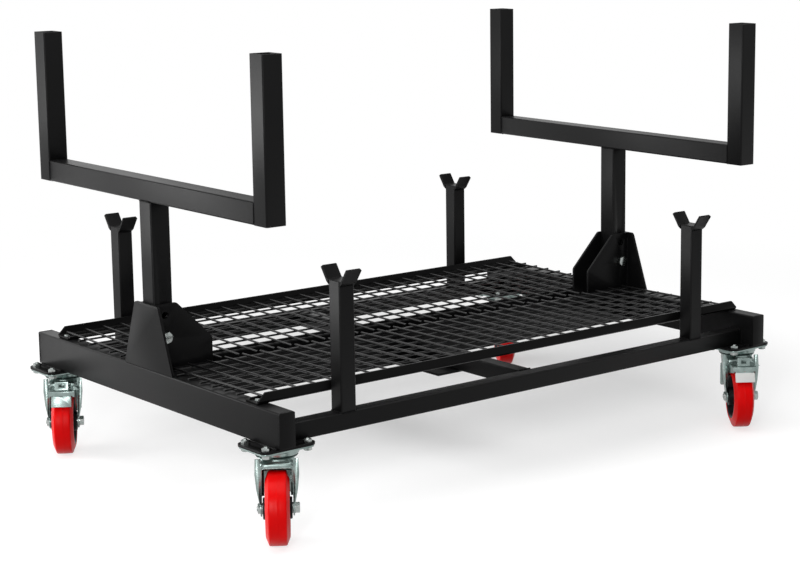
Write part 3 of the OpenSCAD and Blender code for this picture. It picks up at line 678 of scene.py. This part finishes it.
def jointPlace(name):
    # in millimetres
    return Vector(jointOf[name]["pos_m"]) / mm


def wheelAxes(corner):
    # along the axle, and level towards the trailing side
    axle = Vector(jointOf[corner + "_wheel_roll"]["axis"]).normalized()
    return axle, Vector((axle.y, -axle.x, 0))


def axleFrame(corner):
    # X to the trailing side, Z along the axle, origin at the wheel's centre
    axle, back = wheelAxes(corner)
    turn = Matrix((back, axle.cross(back), axle)).transposed().to_4x4()
    return Matrix.Translation(jointPlace(corner + "_wheel_roll")) @ turn


def swivelFrame(corner):
    # X to the trailing side, Z up, origin on the floor under the swivel axis
    axle, back = wheelAxes(corner)
    turn = Matrix((back, axle, Vector((0, 0, 1)))).transposed().to_4x4()
    place = jointPlace(corner + "_swivel_turn")
    place.z = 0
    return Matrix.Translation(place) @ turn


def treadProfile(w):
    r, half, tread, low = w["radius"], w["halfWide"], w["treadHalf"], w["shoulderLow"]
    right = [
        (w["rimRadius"], half - 0.8), (w["rimRadius"] + 0.6, half), (low - 1.2, half),
        (low + 0.6, half - 0.35), (low + 2.4, half - 1.2), (r - 3.2, tread + 1.3), (r - 1.6, tread + 0.5),
        (r - 0.7, tread - 0.8), (r - 0.35, tread - 2.6), (r - 0.15, 6), (r - 0.12, 0.7), (r, 0.3)]
    return right + [(x, -y) for x, y in reversed(right)]


def rimProfile(w):
    boss, face, web = w["bossRadius"], w["bossHalf"], w["webHalf"]
    right = [
        (w["bore"], face - 1.2), (w["bore"] + 1.2, face), (boss - 6, face), (boss - 5.4, face - 0.8),
        (boss - 4, face - 0.8), (boss - 3.4, face), (boss - 1.2, face), (boss, face - 1.2),
        (boss + 1.2, web + 5), (boss + 3, web + 1.6), (boss + 6, web + 0.3), (boss + 9, web),
        (46, web), (48.5, web + 1), (50, web + 4), (51.5, 21), (52.6, 24), (54, 25), (57.2, 25), (57.7, 24.4)]
    return right + [(x, -y) for x, y in reversed(right)]


def axleParts(w):
    # bright washers, hex head, nut and thread end
    out = w["forkOut"]
    parts = [moved(washer(6.2, 12, 1.6), Matrix.Translation((0, 0, w["bossHalf"] + 0.2)))]
    parts.append(moved(washer(6.2, 12, 1.6), Matrix.Translation((0, 0, -w["forkIn"] + 0.2))))
    head = merged([washer(6.2, 12.4, 1.8), moved(hexPrism(21, 9.2), Matrix.Translation((0, 0, 1.8)))])
    parts.append(moved(head, Matrix.Translation((0, 0, out))))
    flip = Matrix.Translation((0, 0, -out)) @ Matrix.Rotation(math.pi, 4, "X")
    nut = merged([hexPrism(21, 6.2, bore=5.5), thread(6, 8, 1.75)])
    parts.append(moved(nut, flip))
    parts.append(lathe([(0, -out), (6, -out), (6, out), (0, out)], 32))
    return merged(parts)


def cornerLabel(corner):
    side, end = corner.split("_")
    return side + end.capitalize()


for corner in corners:
    turn, label = axleFrame(corner), cornerLabel(corner)
    addPiece(label + "Tread", moved(closedLathe(treadProfile(wheelSizes), 144), turn), "tread",
             corner + "_wheel", [corner + "_tyre"])
    addPiece(label + "Rim", moved(closedLathe(rimProfile(wheelSizes), 96), turn), "rim",
             corner + "_wheel", [corner + "_rim"])
    addPiece(label + "Axle", moved(axleParts(wheelSizes), turn), "bolt",
             corner + "_swivel", [corner + "_axle"])
print("wheels made")


# swivel heads: a pressed dome that grows out of the fork's crown, the fixed upper race, and a rim
# round the window over the wheel
headSizes = {
    # rows of height, share of the circle, bulge
    "dome": [(168.2, 0.0, -0.5), (169.2, 0.0, 0.5), (174.5, 0.0, 0.7), (177.0, 0.06, 0.2),
             (179.2, 0.2, -0.9), (181.2, 0.42, -1.4), (182.8, 0.66, 0.2), (184.2, 0.84, 1.6),
             (185.4, 0.95, 1.4), (186.3, 1.0, 0.2)],
    "front": 30, "back": 54.8, "half": 36.4, "circle": 45, "inner": 34, "squareness": 9, "steps": 96,
    "upper": [(38.2, 187.1), (44.2, 187.2), (47.0, 188.6), (48.6, 191.2), (49.0, 194.6), (49.8, 197.4),
              (51.5, 199.8), (38.2, 199.9)],
    "dust": [(34.0, 186.2), (38.0, 186.2), (38.0, 187.2), (34.0, 187.2)],
    "rim": {"back": 54.6, "half": 32.4, "height": 168.2, "radius": 1.3, "corner": 4.0, "drop": 26},
    # sheet that closes the fork in front of the wheel
    "wall": {"low": 90, "high": 150, "half": 36.2, "thick": 2.8, "corner": 4, "gap": 0.2, "edge": 0.8},
}


def loft(rings):
    # closed band of rings, where the last ring joins the first
    count = len(rings[0])
    total = len(rings) * count
    faces = []
    for k in range(len(rings)):
        for i in range(count):
            a, b = k * count + i, k * count + (i + 1) % count
            faces.append((a, b, (b + count) % total, (a + count) % total))
    return [p for ring in rings for p in ring], faces


def domeRing(s, height, share, bulge):
    ring = []
    for angle in ringAngles(s["steps"]):
        c, d = math.cos(angle), math.sin(angle)
        alongX = abs(c) / (s["back"] if c > 0 else s["front"])
        alongY = abs(d) / s["half"]
        square = (alongX ** s["squareness"] + alongY ** s["squareness"]) ** (-1 / s["squareness"])
        reach = square * (1 - share) + s["circle"] * share + bulge
        ring.append((reach * c, reach * d, height))
    return ring


def headDome(s):
    rings = [domeRing(s, *level) for level in s["dome"]]
    low, high = s["dome"][0][0], s["dome"][-1][0]
    for height in (high, low):
        rings.append([(s["inner"] * math.cos(a), s["inner"] * math.sin(a), height)
                      for a in ringAngles(s["steps"])])
    return loft(rings)


def roundedOutline(lowA, highA, lowB, highB, corner):
    # rounded rectangle, anticlockwise
    places = ((highA - corner, highB - corner, 0), (lowA + corner, highB - corner, 90),
              (lowA + corner, lowB + corner, 180), (highA - corner, lowB + corner, 270))
    return [(a + corner * math.cos(math.radians(start + step)),
             b + corner * math.sin(math.radians(start + step)))
            for a, b, start in places for step in (0, 22, 45, 68, 90)]


def slab(outline, bottom, top, edge):
    # flat sheet with softened edges: the outline lies in Y and Z, the thickness along X
    middleA = sum(a for a, b in outline) / len(outline)
    middleB = sum(b for a, b in outline) / len(outline)
    reachA = max(a for a, b in outline) - middleA
    reachB = max(b for a, b in outline) - middleB
    points = []
    rows = ((edge, bottom), (edge * 0.3, bottom + edge * 0.3), (0, bottom + edge), (0, top - edge),
            (edge * 0.3, top - edge * 0.3), (edge, top))
    for inset, x in rows:
        keepA, keepB = 1 - inset / reachA, 1 - inset / reachB
        points += [(x, middleA + (a - middleA) * keepA, middleB + (b - middleB) * keepB) for a, b in outline]
    return points, ringFaces(len(rows), len(outline)) + endFaces(len(rows), len(outline))


def windowRim(s):
    # thin rolled edge round the top of the fork's rear window
    half, top, corner = s["half"], s["height"], s["corner"]
    outline = [(s["back"], -half, top - s["drop"]), (s["back"], -half, top - corner)]
    outline += [(s["back"], -half + corner - corner * math.cos(a), top - corner + corner * math.sin(a))
                for a in (0.39, 0.79, 1.18)]
    outline += [(s["back"], -half + corner, top), (s["back"], half - corner, top)]
    outline += [(s["back"], half - corner + corner * math.sin(a), top - corner + corner * math.cos(a))
                for a in (0.39, 0.79, 1.18)]
    outline += [(s["back"], half, top - corner), (s["back"], half, top - s["drop"])]
    radii = [s["radius"] * 0.4] + [s["radius"]] * (len(outline) - 2) + [s["radius"] * 0.4]
    return tube(outline, radii, 10)


def frontWall(s, back):
    outline = roundedOutline(-s["half"], s["half"], s["low"], s["high"], s["corner"])
    return slab(outline, back - s["gap"] - s["thick"], back - s["gap"], s["edge"])


for corner in corners:
    turn, label = swivelFrame(corner), cornerLabel(corner)
    head = merged([headDome(headSizes), closedLathe(headSizes["dust"], 72), windowRim(headSizes["rim"]),
                   frontWall(headSizes["wall"], -headSizes["front"])])
    addPiece(label + "SwivelHead", moved(head, turn), "zinc", corner + "_swivel")
    addPiece(label + "UpperRace", moved(closedLathe(headSizes["upper"], 72), turn), "zinc",
             "frame")
print("swivel heads made")

# caster bolts: hex head and washer below, a locking nut with a collar and the thread end above
boltSizes = {
    "spanX": 105, "spanY": 80, "flats": 17, "headHigh": 6.4, "plateLow": 200, "plateTop": 210,
    "washer": 9.6, "washerThick": 1.6, "nutHigh": 7.8, "collar": 1.4, "proud": 1.6, "radius": 5,
}


def casterBolt(s, spin):
    # head and washer hang below the zinc plate, a locking nut stands on the black one
    under = merged([washer(5.2, s["washer"], s["washerThick"]),
                    moved(hexPrism(s["flats"], s["headHigh"]),
                          Matrix.Translation((0, 0, s["washerThick"])) @ Matrix.Rotation(spin, 4, "Z"))])
    under = moved(under, Matrix.Translation((0, 0, s["plateLow"])) @ Matrix.Rotation(math.pi, 4, "X"))
    collar = lathe([(4.8, 0), (7.4, 0), (7.5, s["collar"] * 0.4), (6.2, s["collar"]), (4.8, s["collar"])], 32)
    nut = merged([hexPrism(s["flats"], s["nutHigh"] - s["collar"], bore=4.6),
                  moved(collar, Matrix.Translation((0, 0, s["nutHigh"] - s["collar"] - 0.3)))])
    nut = moved(nut, Matrix.Translation((0, 0, s["plateTop"])) @ Matrix.Rotation(spin * 1.7, 4, "Z"))
    shank = moved(thread(s["radius"], s["nutHigh"] + s["proud"], 1.5),
                  Matrix.Translation((0, 0, s["plateTop"])))
    return merged([under, nut, shank])


def allCasterBolts(s):
    draw = random.Random(31)
    parts = []
    for corner in corners:
        place = jointPlace(corner + "_swivel_turn")
        for bx in (-1, 1):
            for by in (-1, 1):
                spot = Matrix.Translation((place.x + bx * s["spanX"] / 2, place.y + by * s["spanY"] / 2, 0))
                parts.append(moved(casterBolt(s, draw.uniform(0, 1.0)), spot))
    return merged(parts)


addPiece("casterBolts", allCasterBolts(boltSizes), "bolt", "frame", ["caster_bolts"])

# pivot bolts: M16 head with a washer face on one side, locking nut and thread end on the other
pivotSizes = {"flats": 24, "headHigh": 9.6, "nutHigh": 11, "radius": 8, "pitch": 2, "reach": 31.5,
              "washer": 14.6, "washerThick": 0.6, "proud": 4, "spin": 0.3}


def pivotBolt(s):
    out = s["reach"]
    head = merged([washer(8, s["washer"] - 2.8, s["washerThick"]),
                   moved(hexPrism(s["flats"], s["headHigh"]), Matrix.Translation((0, 0, s["washerThick"])))])
    flip = Matrix.Translation((0, 0, -out)) @ Matrix.Rotation(math.pi, 4, "X")
    collar = lathe([(7.6, 0), (10.8, 0), (10.9, 1.2), (9.8, 2.6), (8.3, 3), (7.6, 3)], 48)
    nut = merged([hexPrism(s["flats"], s["nutHigh"], chamferBottom=True, bore=7.4),
                  moved(collar, Matrix.Translation((0, 0, s["nutHigh"] - 1)))])
    shank = thread(s["radius"], s["nutHigh"] + s["proud"], s["pitch"], 32)
    return merged([
        moved(head, flip), lathe([(0, -out), (s["radius"], -out), (s["radius"], out), (0, out)], 48),
        moved(nut, Matrix.Translation((0, 0, out))), moved(shank, Matrix.Translation((0, 0, out)))])


for side in ("left", "right"):
    turn = Matrix.Translation(jointPlace(side + "_stand_fold")) @ Matrix.Rotation(-math.pi / 2, 4, "X")
    turn = turn @ Matrix.Rotation(pivotSizes["spin"], 4, "Z")
    addPiece(side + "PivotBolt", moved(pivotBolt(pivotSizes), turn), "bolt", "frame",
             [side + "_pivot_bolt"])

# lip screws: low hex heads with a flange
screwSizes = {"x": 730, "y": 422.5, "seat": 295, "flats": 11, "flange": 7, "high": 4}


def lipScrews(s):
    parts = []
    for k, (sx, sy) in enumerate(((-1, -1), (-1, 1), (1, -1), (1, 1))):
        edge = s["flange"]
        flange = lathe([(0, 0), (edge - 0.3, 0), (edge, 0.4), (edge - 0.6, 1.1), (0, 1.3)], 32)
        head = moved(hexPrism(s["flats"], s["high"] - 0.4), Matrix.Rotation(0.4 + k, 4, "Z"))
        stem = lathe([(0, -5), (3, -5), (3, 0.5), (0, 0.5)], 24)
        seat = Matrix.Translation((sx * s["x"], sy * s["y"], s["seat"]))
        parts.append(moved(merged([flange, head, stem]), seat))
    return merged(parts)


addPiece("lipScrews", lipScrews(screwSizes), "bolt", "frame", ["lip_screws"])
print("fasteners made")

# painted reflection: a thin white sheet with rounded edges on the right near pedal's tread plate stands in for the
# light that plate reflects
reflectionPadSizes = {"low": (122, 134), "lean": 24, "long": 24, "wide": 48, "lap": 0.9, "corner": 2.4, "plate": 2.5}


def pedalReflectionPad(s):
    half, lap = s["wide"] / 2 + s["lap"], s["lap"]
    pad = slab(roundedOutline(-half, half, -lap, s["long"] - 0.5, s["corner"]), -s["plate"] - 0.3, 1.0, 0.7)
    lean = Matrix.Rotation(-math.radians(s["lean"]), 4, "Y")
    return moved(pad, Matrix.Translation((s["low"][0], 0, s["low"][1])) @ lean)


addPiece("rightNearPedalReflectionPad", moved(pedalReflectionPad(reflectionPadSizes), swivelFrame("right_near")), "pedal",
         "right_near_brake")
print("pedal pad made")


# softens the edges of a CAD node that stays: joins split corners, rounds them, and shades smoothly
def softenNode(name, width):
    node = nodes[name]
    node.data.polygons.foreach_set("use_smooth", [True] * len(node.data.polygons))
    join = node.modifiers.new("join", "WELD")
    join.merge_threshold = 0.00001
    easeEdges(node, width, harden=True)


edgeWidths = {"plate": 0.8 * mm, "tube": 0.5 * mm, "fine": 0.4 * mm}
plateNodes = ["left_face_plate", "right_face_plate", "left_gussets", "right_gussets", "centre_plate",
              "mount_plates", "beam_caps", "near_lip", "far_lip"]
tubeNodes = [name for name in nodes if name.endswith(("_beam", "_rail", "_post", "_crossbar", "_upright",
                                                      "_cross_member", "_spacer"))]
fineNodes = [name for name in nodes if name.endswith(("_fork", "_pedal", "_pins", "_top_plates"))]
for group, width in ((plateNodes, "plate"), (tubeNodes, "tube"), (fineNodes, "fine")):
    for name in group:
        softenNode(name, edgeWidths[width])


# studio: a white floor that fades to plain white away from the cart, and soft panels
studio = {
    "floorSize": 40,
    "fadeStart": 1.7,
    "fadeEnd": 3.2,
    "floorColor": 0.45,
    "floorLift": 0.76,
    "shadePlace": (0.45, 0.55, 0.0),    # painted shadow: the floor's lift is lower here, so the floor under and behind the deck is a little darker
    "shadeStart": 0.55,
    "shadeEnd": 1.35,
    "shadeLift": 0.46,
    "worldLight": 0.15,
}


def seenDirectly(tree):
    # 1 where the camera, a reflection or glass looks straight at the background
    path = addNode(tree, "ShaderNodeLightPath")
    seen = mathNode(tree, "MAXIMUM", path.outputs["Is Camera Ray"], path.outputs["Is Glossy Ray"])
    return mathNode(tree, "MAXIMUM", seen, path.outputs["Is Transmission Ray"])


def makeFloor(values):
    mesh = bpy.data.meshes.new("floor")
    half = values["floorSize"] / 2
    square = [(-half, -half, 0), (half, -half, 0), (half, half, 0), (-half, half, 0)]
    mesh.from_pydata(square, [], [(0, 1, 2, 3)])
    floor = bpy.data.objects.new("floor", mesh)
    scene.collection.objects.link(floor)
    material = bpy.data.materials.new("floorWhite")
    material.use_nodes = True
    tree = material.node_tree
    tree.nodes.clear()
    out = tree.nodes.new("ShaderNodeOutputMaterial")
    diffuse = addNode(tree, "ShaderNodeBsdfDiffuse")
    diffuse.inputs["Color"].default_value = (values["floorColor"],) * 3 + (1,)
    lift = addNode(tree, "ShaderNodeEmission")
    place = addNode(tree, "ShaderNodeTexCoord").outputs["Object"]
    away = addNode(tree, "ShaderNodeVectorMath", {"operation": "DISTANCE"})
    away.inputs[1].default_value = values["shadePlace"]
    tree.links.new(place, away.inputs[0])
    # painted shadow: the lift drops towards shadePlace, which darkens the floor under and behind the deck
    shade = addNode(tree, "ShaderNodeMapRange", {"interpolation_type": "SMOOTHSTEP"})
    for label, key in (("From Min", "shadeStart"), ("From Max", "shadeEnd"), ("To Min", "shadeLift"),
                       ("To Max", "floorLift")):
        shade.inputs[label].default_value = values[key]
    tree.links.new(away.outputs["Value"], shade.inputs["Value"])
    tree.links.new(shade.outputs["Result"], lift.inputs["Strength"])
    white = addNode(tree, "ShaderNodeEmission", Strength=1.0)
    seen = seenDirectly(tree)
    lit = tree.nodes.new("ShaderNodeAddShader")
    liftMix = tree.nodes.new("ShaderNodeMixShader")
    tree.links.new(diffuse.outputs[0], lit.inputs[0])
    tree.links.new(lift.outputs[0], lit.inputs[1])
    tree.links.new(seen, liftMix.inputs[0])
    tree.links.new(diffuse.outputs[0], liftMix.inputs[1])
    tree.links.new(lit.outputs[0], liftMix.inputs[2])
    far = addNode(tree, "ShaderNodeVectorMath", {"operation": "LENGTH"})
    tree.links.new(place, far.inputs[0])
    fade = addNode(tree, "ShaderNodeMapRange", {"interpolation_type": "SMOOTHSTEP"})
    fade.inputs["From Min"].default_value = values["fadeStart"]
    fade.inputs["From Max"].default_value = values["fadeEnd"]
    tree.links.new(far.outputs["Value"], fade.inputs["Value"])
    edge = tree.nodes.new("ShaderNodeMixShader")
    tree.links.new(mathNode(tree, "MULTIPLY", fade.outputs["Result"], seen), edge.inputs[0])
    tree.links.new(liftMix.outputs[0], edge.inputs[1])
    tree.links.new(white.outputs[0], edge.inputs[2])
    tree.links.new(edge.outputs[0], out.inputs["Surface"])
    mesh.materials.append(material)


def makeWorld(values):
    world = bpy.data.worlds.new("studioWorld")
    scene.world = world
    world.use_nodes = True
    tree = world.node_tree
    background = tree.nodes["Background"]
    strength = addNode(tree, "ShaderNodeMapRange")
    strength.inputs["To Min"].default_value = values["worldLight"]
    strength.inputs["To Max"].default_value = 1.0
    tree.links.new(seenDirectly(tree), strength.inputs["Value"])
    tree.links.new(strength.outputs["Result"], background.inputs["Strength"])
    background.inputs["Color"].default_value = (1, 1, 1, 1)


panels = [
    # name, place, aim, width, height, power
    ("leftPanel", (-3.3, 2.3, 1.2), (-0.5, 0, 0.7), 2.2, 2.0, 95),
    ("topPanel", (-0.6, -0.2, 4.2), (0, 0, 0.3), 4.5, 3.5, 110),
    ("frontPanel", (-3.9, -3.6, 1.9), (0, 0, 0.5), 0.5, 2.2, 80),
]


def makePanels(rows):
    for name, place, aim, wide, high, power in rows:
        data = bpy.data.lights.new(name, "AREA")
        data.shape = "RECTANGLE"
        data.size, data.size_y = wide, high
        data.energy = power
        lamp = bpy.data.objects.new(name, data)
        lamp.location = place
        lamp.rotation_euler = (Vector(aim) - Vector(place)).to_track_quat("-Z", "Y").to_euler()
        scene.collection.objects.link(lamp)


makeFloor(studio)
makeWorld(studio)
makePanels(panels)
print("studio made")
